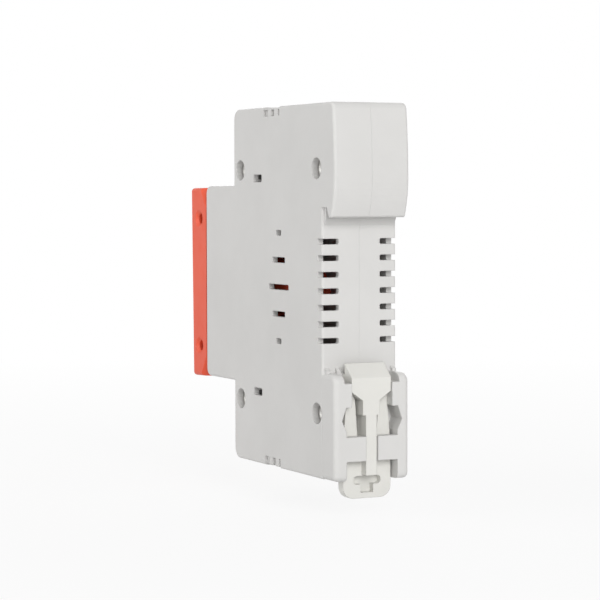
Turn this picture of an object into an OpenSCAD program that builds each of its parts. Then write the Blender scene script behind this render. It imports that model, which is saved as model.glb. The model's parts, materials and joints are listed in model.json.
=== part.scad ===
// One-module fuse disconnector for a 35 mm rail, with a swing-out carrier for a 10 x 38 cartridge fuse.
// Frame: x across the module, y from the front (minus) to the rail (plus), z up.
// The origin lies on the rail seat plane, at mid width, on the rail's centre line.

/* [Housing] */
// Width of the module across both half shells
module_w = 17.8; // [17.4:0.1:18.2]
// Thickness of the side walls
side_wall = 1.3; // [1.1:0.05:1.4]
// Thickness of the end, shoulder and nose walls
end_wall = 1.4; // [1.2:0.05:1.6]
// Thickness of the vented rear wall
rear_wall = 1.3; // [1:0.1:1.6]
// Height of the upper shoulder above the nose
upper_shoulder = 17.45; // [17:0.05:19.5]
// Depth of the lower shoulder below the nose
lower_shoulder = 17.85; // [17.5:0.05:19.5]
// Distance from the rail seat to the shoulders
shoulder_d = 46.4; // [46:0.1:47]
// Distance from the rail seat to the front edge of the nose
nose_d = 62.45; // [61.5:0.05:63.5]
// Height of the nose beyond the fuse's length, walls included
nose_room = 7; // [6.6:0.1:7.4]
// Radius of the shoulder corners
shoulder_r = 2.4; // [1:0.1:3]
// Radius of the nose's front corners, centred on the carrier's hinge
nose_r = 1.8; // [1.7:0.05:2]
// Fillet between nose and shoulder
inner_fillet = 0.6; // [0.3:0.1:1]
// Rounding along the edges of the side faces
edge_r = 0.5; // [0.3:0.1:0.8]
// Rounding along the upright rear edges of the hook
hook_edge_r = 0.6; // [0.5:0.1:1]
// Rounding along the edges of the foot
foot_edge_r = 1; // [0.5:0.1:1.2]
// Gap between the half shells along the seam
seam_gap = 0.005; // [0.005:0.005:0.12]

/* [Rail foot] */
// Height of the rail that the housing clips on
rail_h = 35; // [34.8:0.1:35.2]
// Thickness of the rail's flanges
rail_t = 1; // [0.9:0.1:1.2]
// Room left above and below the rail
rail_play = 0.15; // [0.05:0.05:0.3]
// Set-back of the vented wall from the rail seat
wall_setback = 1; // [0.6:0.1:1.2]
// Reach of the fixed hook behind the rail seat
hook_d = 5; // [4.6:0.1:5.3]
// Drop of the hook's lip over the rail's upper edge
hook_grip = 1.95; // [1.5:0.05:2.2]
// Depth of the foot behind the rail seat
foot_d = 4.9; // [4.7:0.1:5.2]

/* [Clip] */
// Width of the clip's wedge
wedge_w = 9.4; // [9:0.1:9.6]
// Height of the wedge over the rail's lower edge
clip_grip = 2; // [1.6:0.1:2.4]
// Thickness of the clip's plate and spring arms
plate_t = 2.25; // [2:0.05:2.4]
// Width of the pull tab
pull_w = 11.4; // [11:0.1:11.4]
// Length of the pull tab under the housing
pull_out = 4.05; // [3.5:0.05:5]
// Travel of the clip when it is pulled down
clip_travel = 4; // [3.5:0.1:4.2]
// Running room round the clip
clip_room = 0.15; // [0.1:0.01:0.2]

/* [Vents] */
// Spacing of the side vents
vent_pitch = 6; // [5.5:0.1:6.5]
// Height of the side vents
vent_h = 1.25; // [1:0.05:1.5]
// Distance of the side vents' middle from the rail seat
vent_d = 22.5; // [21:0.1:24]
// Spacing of the rear slots
slot_pitch = 3.53; // [3.2:0.01:3.7]
// Height of the rear slots
slot_h = 1.22; // [1:0.02:1.5]
// Number of rear slots on each side
slot_n = 7; // [5:1:7]
// Distance of the rear slots' inner ends from mid width
slot_in = 4.95; // [4.5:0.05:6]
// Depth of the rear slots in the side wall
slot_d = 2.1; // [1.8:0.1:3]

/* [Rivets] */
// Diameter of the rivet shanks
rivet_d = 2.6; // [2.2:0.1:2.8]
// Diameter of the rivet heads
rivet_head_d = 4.3; // [4:0.1:4.4]
// Depth of the rivet pockets in the side faces
rivet_sink = 1.8; // [1.2:0.1:1.9]
// Distance of the rivets above and below the nose
rivet_rise = 3.7; // [3.5:0.1:3.8]
// Distance of the front rivets from the shoulders
rivet_front = 3.7; // [3.5:0.1:3.9]
// Distance of the rear rivets from the rail seat
rivet_rear = 3.7; // [3:0.05:4]

/* [Terminals] */
// Distance of the terminal screws above and below the nose
terminal_rise = 9.3; // [9.2:0.1:9.7]
// Diameter of the wire entries
wire_d = 7; // [6:0.1:7.4]
// Distance of the wire entries from the rail seat
wire_back = 26; // [25.5:0.1:26.5]
// Thread diameter of the terminal screws
screw_d = 4.8; // [4:0.1:5]
// Head diameter of the terminal screws
screw_head_d = 6; // [5.6:0.1:6]
// Head height of the terminal screws
screw_head_h = 3.1; // [2.5:0.1:3.4]
// Width of the clamp cages
cage_w = 11.2; // [10.6:0.1:11.2]
// Height of the clamp cages along the wire
cage_h = 9; // [8:0.1:9]
// Thickness of the cages' straps
cage_t = 1.2; // [1:0.1:1.3]
// Thickness of the cages' threaded wall
cage_nut_t = 2.4; // [2:0.1:2.6]
// Travel of the cages from open to closed
cage_travel = 5.5; // [5:0.1:5.6]
// Thickness of the contact strip
contact_t = 1; // [0.8:0.05:1]
// Width of the contact bar inside the cage
bar_w = 8.2; // [7:0.1:8.2]
// Thickness of the jaw springs
spring_t = 0.4; // [0.3:0.05:0.5]
// Width of the jaw springs
spring_w = 4; // [3:0.1:4]

/* [Fuse] */
// Length of the cartridge fuse
fuse_l = 38; // [37.6:0.1:38.2]
// Diameter of the fuse's end caps
cap_d = 10.3; // [10.1:0.05:10.4]
// Length of the end caps
cap_l = 10; // [9:0.1:10.5]
// Wall of the end caps
cap_t = 0.4; // [0.3:0.05:0.5]
// Bore of the ceramic tube
tube_bore = 7.2; // [6:0.1:7.6]
// Width of the melting strip
strip_w = 3.2; // [2.5:0.1:4]
// Thickness of the melting strip
strip_t = 0.2; // [0.15:0.05:0.3]

/* [Carrier] */
// Depth of the red front ahead of the nose, at its foot
handle_t = 8.3; // [7.5:0.1:9]
// How much further the red front stands out at its top
handle_lean = 0.85; // [0:0.05:1.2]
// Set-back of the red front's sides from the housing's side faces
handle_inset = 0.1; // [0.1:0.05:0.4]
// Rounding of the red front's outer edges
handle_r = 0.9; // [0.5:0.1:1.2]
// Gap between the red front and the nose
carrier_gap = 0.3; // [0.25:0.05:0.4]
// Distance of the fuse axis behind the hinge axis
fuse_back = 8; // [7.9:0.1:8.2]
// Diameter of the hinge pin
pin_d = 2; // [1.8:0.1:2.2]
// Height of the fin that guides the carrier
fin_h = 7.2; // [6:0.1:8]
// Diameter of the sealing holes
seal_d = 2.4; // [2:0.1:2.8]
// Distance of the sealing holes in from the ends of the nose
seal_inset = 7.3; // [6.5:0.05:8.5]

/* [Hidden] */
$fn = 48;

// Clearances and small shared sizes
press_gap = 0.02;
run_gap = 0.05;
seat_gap = 0.05;
guide_gap = 0.15;
swing_gap = 0.3;
past = 1;
rib = 1.2;

// Housing
half_w = module_w / 2;
inner_x = half_w - side_wall;
wall_y = -wall_setback;
cavity_y = wall_y - rear_wall;
shoulder_y = -shoulder_d;
shoulder_in_y = shoulder_y + end_wall;
nose_y = -nose_d;
nose_h = fuse_l + nose_room;
nose_top = nose_h / 2;
nose_in = nose_top - end_wall;
body_up = nose_top + upper_shoulder;
body_down = nose_top + lower_shoulder;
body_mid_up = body_up - end_wall;
body_mid_down = body_down - end_wall;

// Rail foot
groove_z = rail_h / 2 + rail_play;
lip_z = rail_h / 2 - hook_grip;
foot_top = -(rail_h / 2 + rail_play);
foot_top_r = 2;
foot_low_r = 1.2;
seat_drop = 2.3;
seat_slant = 1.5;
seat_flat_z = groove_z - seat_drop;
seat_end_z = seat_flat_z - seat_slant;
hook_mid_rise = 6.35;
hook_mid_z = groove_z + hook_mid_rise;
hook_floor = 2;
hook_top_draw = 1;
hook_lip_draw = 1.65;
hook_top_r = 1.2;
lip_flat = 1.15;
lip_bevel_y = 0.25;
lip_bevel_z = 0.3;
seat_rib_w = 0.9;
seat_rib_wedge_gap = 0.3;
seat_rib_in = wedge_w / 2 + seat_rib_wedge_gap;
seat_rib_edge = 1.4;
seat_rib_out = half_w - seat_rib_edge;
seat_rib_rise = 1.1;
seat_rib_draft = 0.6;

// Openings: the small side slots, the lengths of the vents, and how far the rear slots sit low
side_slot_d = 35.6;
side_slot_l = 4.35;
side_slot_rise = 0.75;
side_slot_h = 1.7;
side_slot_z = nose_top + side_slot_rise;
vent_lengths = [2.55, 6.4, 10.1, 6.4, 2.55];
vent_r = 0.3;
slot_drop = 0.17;
slot_r = 0.35;

// Recess and grip windows in the end walls: y from the wire entry, z in from the end face
end_recess = 0.3;
upper_windows = [[-4.1, -1.75], [-0.1, 1.3], [3.3, 4]];
lower_windows = [[-3.65, -1.25], [0.15, 1.65], [3.4, 4.1]];
upper_window_inset = 0.7;
lower_window_inset = 0;
window_z = 2.05;
window_d = 0.55;

// Rivets
rivet_z = nose_top + rivet_rise;
rivet_drop = 0.2;
rivet_pocket_room = 0.15;
rivet_pocket_r = rivet_head_d / 2 + rivet_pocket_room;
rivet_head_t = 0.5;
boss_wall = 1.1;
pocket_wall = 0.7;
pocket_floor = 0.3;

// Hinge and swing of the carrier
pivot_y = nose_y + nose_r;
pivot_z = -nose_top + nose_r;
handle_in_y = nose_y - carrier_gap;
handle_out_y = handle_in_y - handle_t;
handle_half_w = half_w - handle_inset;
handle_top_inset = 0.4;
handle_foot_drop = 0.25;
seal_z = nose_top - seal_inset;
seal_drop = 0.43;
handle_top = nose_top - handle_top_inset;
handle_low = -nose_top - carrier_gap;
handle_web = 3;
face_low = handle_low + handle_r - handle_foot_drop;
face_top = handle_top - handle_r;
face_l = norm([handle_lean, face_top - face_low]);
face_lean = atan2(handle_lean, face_top - face_low);
barrel_r = nose_r - 2 * run_gap;
pivot_boss_r = nose_r - run_gap;
swing_r = nose_in - pivot_z - 2 * swing_gap;

// Fuse
cap_r = cap_d / 2;
fuse_y = pivot_y + fuse_back;
fuse_reach = fuse_back + cap_r;
fuse_top = pivot_z + sqrt(swing_r * swing_r - fuse_reach * fuse_reach) - swing_gap / 2;
fuse_low = fuse_top - fuse_l;
cap_end_t = 2 * cap_t;
disc_t = 0.5;
tube_r = cap_r - cap_t - press_gap;
tube_top = fuse_top - cap_end_t - disc_t;
tube_low = fuse_low + cap_end_t + disc_t;

// Contacts: blades inside the cap's length and short of the nose wall, web behind the shoulder wall
blade_short = 1.4;
blade_lead = 2;
blade_ahead = 4.5;
blade_wall_gap = 0.7;
web_rise = 0.6;
web_wall_gap = 0.4;
spring_inset = 0.3;
spring_short = 2.5;
blade_in = cap_r + run_gap;
blade_out = blade_in + contact_t;
blade_z = fuse_top - cap_l + blade_short;
blade_end_z = nose_in - blade_wall_gap;
blade_front_y = fuse_y - blade_ahead;
web_z = nose_in + web_rise;
web_front_y = shoulder_in_y + web_wall_gap;
blade_rear_y = web_front_y + spring_w;

// Terminals
bar_wire_gap = 0.6;
bar_end_gap = 0.9;
cage_wire_gap = 0.1;
cage_bar_gap = 0.3;
screw_wall_gap = 0.2;
screw_access_inset = 0.3;
terminal_z = nose_top + terminal_rise;
wire_y = -wire_back;
bar_rear_y = wire_y - wire_d / 2 - bar_wire_gap;
bar_front_y = bar_rear_y - contact_t;
bar_end_z = body_up - end_wall - bar_end_gap;
cage_rear_y = wire_y + wire_d / 2 + cage_wire_gap;
cage_front_y = bar_front_y - cage_bar_gap;
cage_in_w = cage_w - 2 * cage_t;
cage_rear_t = 1.6;
cage_low_z = terminal_z - cage_h / 2;
cage_high_z = terminal_z + cage_h / 2;
screw_tip_y = bar_front_y - seat_gap;
screw_head_y = shoulder_in_y + screw_wall_gap;
screw_neck_y = screw_head_y + screw_head_h;

// Ribs that hold the contact, and guides for the cage
web_rib_lap = 0.6;
web_rib_front_gap = 2;
web_rib_rear_gap = 2.4;
web_rib_front_y = blade_rear_y + web_rib_front_gap;
web_rib_rear_y = bar_front_y - web_rib_rear_gap;
guide_inset = 0.2;
bar_rib_gap = 0.3;

// Saddle and fin of the carrier
saddle_play = 0.2;
saddle_wall = 1.1;
saddle_side_gap = 0.4;
saddle_bore_r = cap_r + saddle_play;
saddle_half_w = inner_x - saddle_side_gap;
blade_reach = norm([blade_front_y - pivot_y, blade_z - pivot_z]);
saddle_r = blade_reach - swing_gap - 2 * run_gap;
saddle_back = fuse_back + saddle_bore_r + saddle_wall;
saddle_top = pivot_z + sqrt(saddle_r * saddle_r - saddle_back * saddle_back);
saddle_blade_gap = 1.56;
saddle_low = saddle_blade_gap - blade_z;
fin_half_w = blade_in - swing_gap;
barrel_half_w = fin_half_w;
ledge_t = 0.8;
latch_half_w = 3;
latch_h = 1.7;
latch_d = 2.2;
rim_d = 1.2;

// Clip
channel_y = 0.05;
plate_gap = 0.1;
plate_y = channel_y + plate_gap;
plate_rear_y = plate_y + plate_t;
tab_y = plate_rear_y + clip_room;
wedge_tip_z = -(rail_h / 2 - clip_grip);
wedge_rear_inset = 0.4;
wedge_rear_y = foot_d - wedge_rear_inset;
wedge_fold = 2.95;
wedge_bevel_y = 0.15;
wedge_bevel_z = 0.05;
wedge_step = 0.3;
wedge_end_z = -21.4;
stem_top_z = -23.3;
stem_w = 4;
ridge_w = 2.56;
notch_top_z = -24.6;
notch_tip_z = -27.5;
notch_end_z = -29.9;
notch_w = 14.4;
tab_top_z = -30.95;
tab_end_z = -36.15;
tab_stop = 0.5;
stem_end_z = tab_top_z + clip_travel + tab_stop;
wedge_channel = wedge_w / 2 + clip_room;
pull_room = 0.4;
pull_channel = pull_w / 2 + pull_room;
lip_notch_x = 6.6;
lip_notch_drop = 1.9;
notch_ledge = 0.1;
barb_z = -21.7;
barb_gap = 0.4;
undercut_z = barb_z + barb_gap;
arm_root_x = 2.23;
arm_slot_x = 2.85;
arm_tip_x = 3.4;
arm_tip_drop = 0.5;
arm_tip_inset = 0.25;
arm_waist_inset = 0.65;
arm_root_inset = 0.1;
arm_waist = 3.1;
arm_root_drop = 1;
arm_root_z = tab_top_z - arm_root_drop;
pull_drop = 0.3;
pull_top_z = tab_top_z - pull_drop;
pull_end_z = -body_down - pull_out;
pull_r = 2.5;
ridge_rise = 5.1;
ridge_end_z = pull_end_z + ridge_rise;
tool_slot_rise = 3.9;
tool_slot_z = pull_end_z + tool_slot_rise;
tool_slot_r = 0.9;
tool_slot_half = 3.3;
tool_slot_d = 1.6;
tool_step_w = 3;
tool_step_h = 1.8;

shell_grey = [0.80, 0.80, 0.79];
carrier_red = [0.80, 0.16, 0.10];
clip_white = [0.87, 0.87, 0.85];

// Points on an arc in the side view
function arc_points(y, z, r, from, to, n = 6) =
    [for (i = [0:n]) let (a = from + (to - from) * i / n) [y + r * cos(a), z + r * sin(a)]];

// Rounded rectangle in the side view, drawn in by d
// The radii run from low front to low rear, top rear and top front
function round_rect(y0, y1, z0, z1, radii, d) = concat(
    arc_points(y0 + radii[0], z0 + radii[0], radii[0] - d, 180, 270),
    arc_points(y1 - radii[1], z0 + radii[1], radii[1] - d, 270, 360),
    arc_points(y1 - radii[2], z1 - radii[2], radii[2] - d, 0, 90),
    arc_points(y0 + radii[3], z1 - radii[3], radii[3] - d, 90, 180));

// Rear face of the hook, drawn in towards its top and towards its lip
function hook_y(z) = z > hook_mid_z
    ? hook_d - hook_top_draw * pow((z - hook_mid_z) / (body_up - hook_mid_z), 2)
    : hook_d - hook_lip_draw * pow((hook_mid_z - z) / (hook_mid_z - lip_z), 2);

function hook_points(z0, z1, d, n) =
    [for (i = [0:n]) let (z = z0 + (z1 - z0) * i / n) [hook_y(z) - d, z]];

// Extrusion of a side view between two values of x
module side_plate(x0, x1) {
    translate([x0, 0, 0])
        rotate([90, 0, 90])
            linear_extrude(x1 - x0)
                children();
}

// Extrusion of a rear view between two values of y
module rear_plate(y0, y1) {
    translate([0, y1, 0])
        rotate([90, 0, 0])
            linear_extrude(y1 - y0)
                children();
}

module box(low, high) {
    translate(low)
        cube(high - low);
}

module x_rod(x0, x1, y, z, r) {
    translate([x0, y, z])
        rotate([0, 90, 0])
            cylinder(h = x1 - x0, r = r);
}

module y_rod(y0, y1, z, r) {
    translate([0, y0, z])
        rotate([-90, 0, 0])
            cylinder(h = y1 - y0, r = r);
}

module at_lower_end() {
    mirror([0, 0, 1])
        children();
}

// The same feature at the upper and the lower end
module both_ends() {
    children();
    at_lower_end()
        children();
}

// A slab from the seam to the side face, whose edges are rounded by r
module soft_slab(y0, y1, z0, z1, radii, r) {
    hull() {
        side_plate(seam_gap / 2, half_w - r)
            polygon(round_rect(y0, y1, z0, z1, radii, 0));
        for (a = [30:30:90])
            side_plate(half_w - r, half_w - r + r * sin(a))
                polygon(round_rect(y0, y1, z0, z1, radii, r * (1 - cos(a))));
    }
}

module hook_outline(d) {
    polygon(concat(
        [[wall_y - past, body_up - d], [wall_y - past, groove_z]],
        hook_points(groove_z, body_up - hook_top_r, d, 16),
        arc_points(hook_y(body_up) - hook_top_r, body_up - hook_top_r, hook_top_r - d, 30, 90, 4)));
}

module lip_outline(d) {
    polygon(concat(
        [[rail_t + rail_play, groove_z + past], [rail_t + rail_play, groove_z],
            [hook_y(lip_z) - lip_flat, lip_z], [hook_y(lip_z) - d - lip_bevel_y, lip_z]],
        hook_points(lip_z + lip_bevel_z, groove_z + past, d, 6)));
}

module rounded_hook() {
    hull() {
        side_plate(seam_gap / 2, half_w - hook_edge_r)
            hook_outline(0);
        for (a = [30:30:90])
            side_plate(half_w - hook_edge_r, half_w - hook_edge_r + hook_edge_r * sin(a))
                hook_outline(hook_edge_r * (1 - cos(a)));
    }
    hull() {
        side_plate(seam_gap / 2, half_w - hook_edge_r)
            lip_outline(0);
        for (a = [30:30:90])
            side_plate(half_w - hook_edge_r, half_w - hook_edge_r + hook_edge_r * sin(a))
                lip_outline(hook_edge_r * (1 - cos(a)));
    }
}

// Fillet in the corner between the nose and a shoulder
module nose_fillet() {
    side_plate(seam_gap / 2, half_w - edge_r)
        difference() {
            translate([shoulder_y - inner_fillet, nose_top - end_wall / 2])
                square([inner_fillet + end_wall / 2, inner_fillet + end_wall / 2]);
            translate([shoulder_y - inner_fillet, nose_top + inner_fillet])
                circle(r = inner_fillet);
        }
}

// Seats for the rail's flanges, proud of the vented wall
module rail_seats() {
    side_plate(seam_gap / 2, half_w - edge_r)
        polygon([[wall_y - past, seat_end_z], [wall_y, seat_end_z], [0, seat_flat_z], [0, groove_z + past],
            [wall_y - past, groove_z + past]]);
    rib_z = foot_top + seat_rib_rise;
    for (x = [seat_rib_in, seat_rib_out])
        side_plate(x, x + seat_rib_w)
            polygon([[wall_y - past, rib_z], [wall_y, rib_z], [0, rib_z - seat_rib_draft],
                [0, foot_top - past], [wall_y - past, foot_top - past]]);
}

module shell_skin() {
    sharp = edge_r;
    soft_slab(shoulder_y, wall_y, -body_down, body_up, [shoulder_r, sharp, sharp, shoulder_r], edge_r);
    soft_slab(nose_y, shoulder_y + past, -nose_top, nose_top, [nose_r, sharp, sharp, nose_r], edge_r);
    soft_slab(wall_y - past, foot_d, -body_down, foot_top, [foot_edge_r, foot_low_r, foot_top_r, foot_edge_r],
        foot_edge_r);
    rounded_hook();
    both_ends()
        nose_fillet();
    rail_seats();
}

module shell_cavity() {
    box([-past, shoulder_in_y, -body_mid_down], [inner_x, cavity_y, body_mid_up]);
    box([-past, nose_y - past, -nose_in], [inner_x, shoulder_in_y + past, nose_in]);
    box([-past, cavity_y - past, groove_z + hook_floor], [inner_x, hook_y(body_up) - rear_wall, body_mid_up]);
}

// Calls its children at each rivet's place in the side view
module at_rivets() {
    for (y = [shoulder_y + rivet_front, -rivet_rear], z = [rivet_z, -rivet_z])
        translate([0, y, z - rivet_drop])
            children();
}

module rivet_bosses() {
    wall_x = inner_x + side_wall / 2;
    at_rivets() {
        x_rod(seam_gap / 2, wall_x, 0, 0, rivet_d / 2 + boss_wall);
        x_rod(half_w - rivet_sink - pocket_floor, wall_x, 0, 0, rivet_pocket_r + pocket_wall);
    }
}

module rivet_holes() {
    at_rivets() {
        x_rod(-past, half_w + past, 0, 0, rivet_d / 2 + run_gap);
        x_rod(half_w - rivet_sink, half_w + past, 0, 0, rivet_pocket_r);
    }
}

// Ribs that hold the contact's web and bar, and guides for the clamp cage, at the upper end
module terminal_ribs() {
    wall_x = inner_x + side_wall / 2;
    guide_x = cage_w / 2 + guide_gap;
    web_rib_x = blade_in - web_rib_lap;
    for (z = [web_z - seat_gap - rib, web_z + contact_t + seat_gap])
        box([web_rib_x, web_rib_front_y, z], [wall_x, web_rib_rear_y, z + rib]);
    for (z = [cage_low_z + guide_inset, cage_high_z - guide_inset - rib])
        box([guide_x, cage_front_y - cage_nut_t - cage_travel, z],
            [wall_x, cage_rear_y + cage_rear_t, z + rib]);
    box([seam_gap / 2, bar_front_y - seat_gap - rib, cage_high_z + bar_rib_gap],
        [wall_x, bar_front_y - seat_gap, body_up - end_wall / 2]);
}

module pivot_boss() {
    x_rod(barrel_half_w + swing_gap, inner_x + side_wall / 2, pivot_y, pivot_z, pivot_boss_r);
}

// Cut through a side wall, with rounded corners
module side_cut(y0, y1, z0, z1) {
    side_plate(inner_x - past, half_w + past)
        polygon(round_rect(y0, y1, z0, z1, [vent_r, vent_r, vent_r, vent_r], 0));
}

module vents() {
    middle = (len(vent_lengths) - 1) / 2;
    for (i = [0:len(vent_lengths) - 1])
        translate([0, -vent_d, (i - middle) * vent_pitch])
            side_cut(-vent_lengths[i] / 2, vent_lengths[i] / 2, -vent_h / 2, vent_h / 2);
    both_ends()
        side_cut(-side_slot_d, side_slot_l - side_slot_d, side_slot_z, side_slot_z + side_slot_h);
}

module rear_slots() {
    for (i = [0:slot_n - 1]) {
        z = (i - (slot_n - 1) / 2) * slot_pitch - slot_drop;
        rear_plate(cavity_y - past / 2, past)
            polygon(round_rect(slot_in, inner_x + side_wall / 2, z - slot_h / 2, z + slot_h / 2,
                [slot_r, slot_r, slot_r, slot_r], 0));
        box([inner_x, wall_y - slot_d, z - slot_h / 2], [half_w + past, past, z + slot_h / 2]);
    }
}

// Recess and grip windows in an end wall, beside the wire entry
module end_details(end_z, windows, inset) {
    last = len(windows) - 1;
    translate([0, wire_y, end_z]) {
        box([-past, windows[0][0], -end_recess], [half_w + past, windows[last][1], past]);
        for (w = windows)
            box([half_w - window_d, w[0], -window_z], [half_w + past, w[1], -inset]);
        translate([0, 0, -end_wall - past])
            cylinder(h = end_wall + 2 * past, d = wire_d);
    }
}

module screw_access() {
    both_ends()
        y_rod(shoulder_y - past, shoulder_in_y + past / 4, terminal_z, screw_head_d / 2 - screw_access_inset);
}

// Channel for the clip: open to the rear between lips and tabs, wider behind them
module clip_channel() {
    rear = foot_d + past;
    low = -body_down - past;
    box([-past, channel_y, notch_top_z - past / 2], [wedge_channel, rear, foot_top + past]);
    box([-past, channel_y, foot_top - lip_notch_drop], [lip_notch_x, rear, foot_top + past]);
    box([-past, channel_y, low], [pull_channel, tab_y, undercut_z]);
    box([-past, channel_y, tab_top_z], [pull_channel, rear, notch_top_z]);
    box([-past, channel_y, low], [pull_channel, rear, tab_end_z]);
    box([-past, channel_y, tab_end_z - past], [ridge_w / 2 + clip_room, rear, tab_top_z + past]);
    rear_plate(channel_y, rear)
        polygon([[pull_channel - past, notch_top_z], [pull_channel + notch_ledge, notch_top_z],
            [notch_w / 2, notch_tip_z], [pull_channel, notch_end_z], [pull_channel - past, notch_end_z]]);
}

// Room for the carrier's hinge barrel and pin in the nose's lower front corner
module hinge_room() {
    box([-past, nose_y - past, -nose_top - past],
        [barrel_half_w + swing_gap, pivot_y + nose_r + 2 * run_gap, pivot_z]);
    x_rod(-past, inner_x + seat_gap, pivot_y, pivot_z, pin_d / 2 + press_gap);
}

module half_shell() {
    color(shell_grey)
        difference() {
            union() {
                difference() {
                    shell_skin();
                    shell_cavity();
                }
                rivet_bosses();
                both_ends()
                    terminal_ribs();
                pivot_boss();
            }
            rivet_holes();
            vents();
            rear_slots();
            end_details(body_up, upper_windows, upper_window_inset);
            at_lower_end()
                end_details(body_down, lower_windows, lower_window_inset);
            screw_access();
            clip_channel();
            hinge_room();
        }
}

module right_shell() {
    half_shell();
}

module left_shell() {
    mirror([1, 0, 0])
        half_shell();
}

module housing_rivets() {
    head_x = half_w - rivet_sink;
    recess_d = 2;
    color([0.72, 0.72, 0.70])
        at_rivets()
            difference() {
                union() {
                    x_rod(-head_x - rivet_head_t, head_x + rivet_head_t, 0, 0, rivet_d / 2);
                    for (s = [0, 1])
                        mirror([s, 0, 0])
                            x_rod(head_x, head_x + rivet_head_t, 0, 0, rivet_head_d / 2);
                }
                for (s = [0, 1])
                    mirror([s, 0, 0])
                        x_rod(head_x - recess_d, head_x + past, 0, 0, rivet_d / 4);
            }
}

module carrier_pivot_pin() {
    color([0.70, 0.70, 0.72])
        x_rod(-inner_x, inner_x, pivot_y, pivot_z, pin_d / 2);
}

// Red front: rounded towards the viewer, square towards the nose, leaning out at its top
module handle_block() {
    x = handle_half_w - handle_r;
    low = handle_low + handle_r;
    out = handle_out_y + handle_r;
    hull()
        for (sx = [-x, x]) {
            translate([sx, out, face_low])
                sphere(r = handle_r, $fn = 24);
            translate([sx, out - handle_lean, face_top])
                sphere(r = handle_r, $fn = 24);
            for (z = [low, face_top])
                translate([sx, handle_in_y, z])
                    rotate([90, 0, 0])
                        cylinder(h = handle_r, r = handle_r, $fn = 24);
        }
}

// Bare label field and grip grooves, cut square to the leaning face of the red front
module face_cuts() {
    label_x = 6.7;
    label_h = 18;
    label_low = 9.5;
    label_d = 0.25;
    groove_x = 6;
    groove_h = 0.9;
    groove_n = 4;
    groove_pitch = 1.8;
    groove_top = 3.2;
    groove_d = 0.4;
    corner_r = 0.4;
    radii = [corner_r, corner_r, corner_r, corner_r];
    translate([0, handle_out_y + handle_r, face_low])
        rotate([face_lean, 0, 0])
            translate([0, -handle_r, 0]) {
                rear_plate(-past, label_d)
                    polygon(round_rect(-label_x, label_x, label_low, label_low + label_h, radii, 0));
                for (i = [0:groove_n - 1])
                    translate([0, 0, face_l - groove_top - i * groove_pitch])
                        rear_plate(-past, groove_d)
                            polygon(round_rect(-groove_x, groove_x, 0, groove_h, radii, 0));
            }
}

// Slanted cut across one rear corner of the red front, with its reach along x, y and z
module finger_facet() {
    reach = [3, 3.4, 5];
    normal = [1 / reach[0], 1 / reach[1], 1 / reach[2]];
    size = norm(normal);
    side = 12;
    translate([handle_half_w, handle_in_y, handle_top])
        rotate([0, -asin(normal[2] / size), atan2(normal[1], normal[0])])
            translate([-1 / size, -side / 2, -side / 2])
                cube(side);
}

module finger_facets() {
    shift = handle_top + handle_low;
    for (s = [0, 1])
        mirror([s, 0, 0]) {
            finger_facet();
            translate([0, 0, shift])
                at_lower_end()
                    finger_facet();
        }
}

// Sealing holes through the red front, each with a shallow dish at both ends
module seal_holes() {
    dish_r = 2.1;
    dish_d = 0.55;
    seal_ahead = 4.15;
    y = handle_in_y - seal_ahead;
    for (z = [seal_z - seal_drop, -seal_z - seal_drop]) {
        x_rod(-half_w, half_w, y, z, seal_d / 2);
        for (s = [0, 1])
            mirror([s, 0, 0])
                translate([handle_half_w - dish_d, y, z])
                    rotate([0, 90, 0])
                        cylinder(h = dish_d, r1 = seal_d / 2, r2 = dish_r);
    }
}

// Hollows in the back of the red front, above and below the saddle
module handle_hollows() {
    skin = 1.8;
    spans = [[saddle_top + handle_web, seal_z - handle_web], [seal_z + handle_web, handle_top - handle_web],
        [handle_web - seal_z, saddle_low - past]];
    x = handle_half_w - skin;
    for (z = spans)
        box([-x, handle_out_y + skin, z[0]], [x, handle_in_y + past, z[1]]);
}

module fin_outline() {
    low = asin((-fin_h / 2 - pivot_z) / swing_r);
    high = asin((fin_h / 2 - pivot_z) / swing_r);
    start_y = pivot_y + saddle_back - past;
    polygon(concat([[start_y, fin_h / 2], [start_y, -fin_h / 2]],
        arc_points(pivot_y, pivot_z, swing_r, low, high, 8)));
}

module fuse_carrier() {
    ledge_z = fuse_low - seat_gap;
    latch_top = nose_in - swing_gap;
    color(carrier_red)
        difference() {
            union() {
                difference() {
                    handle_block();
                    finger_facets();
                    handle_hollows();
                    face_cuts();
                }
                box([-saddle_half_w, handle_in_y - past, saddle_low],
                    [saddle_half_w, pivot_y + saddle_back, saddle_top]);
                side_plate(-fin_half_w, fin_half_w)
                    fin_outline();
                x_rod(-barrel_half_w, barrel_half_w, pivot_y, pivot_z, barrel_r);
                box([-barrel_half_w, handle_in_y - past, pivot_z - barrel_r],
                    [barrel_half_w, pivot_y, pivot_z + barrel_r]);
                box([-barrel_half_w, pivot_y, ledge_z - ledge_t],
                    [barrel_half_w, fuse_y + cap_r - past, ledge_z]);
                box([-latch_half_w, handle_in_y - past, latch_top - latch_h],
                    [latch_half_w, handle_in_y + latch_d, latch_top]);
                box([-saddle_half_w, handle_in_y, handle_top - handle_web],
                    [saddle_half_w, handle_in_y + rim_d, latch_top]);
            }
            seal_holes();
            x_rod(-half_w, half_w, pivot_y, pivot_z, pin_d / 2 + run_gap);
            translate([0, fuse_y, saddle_low - past])
                cylinder(h = saddle_top - saddle_low + 2 * past, r = saddle_bore_r);
        }
}

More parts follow.
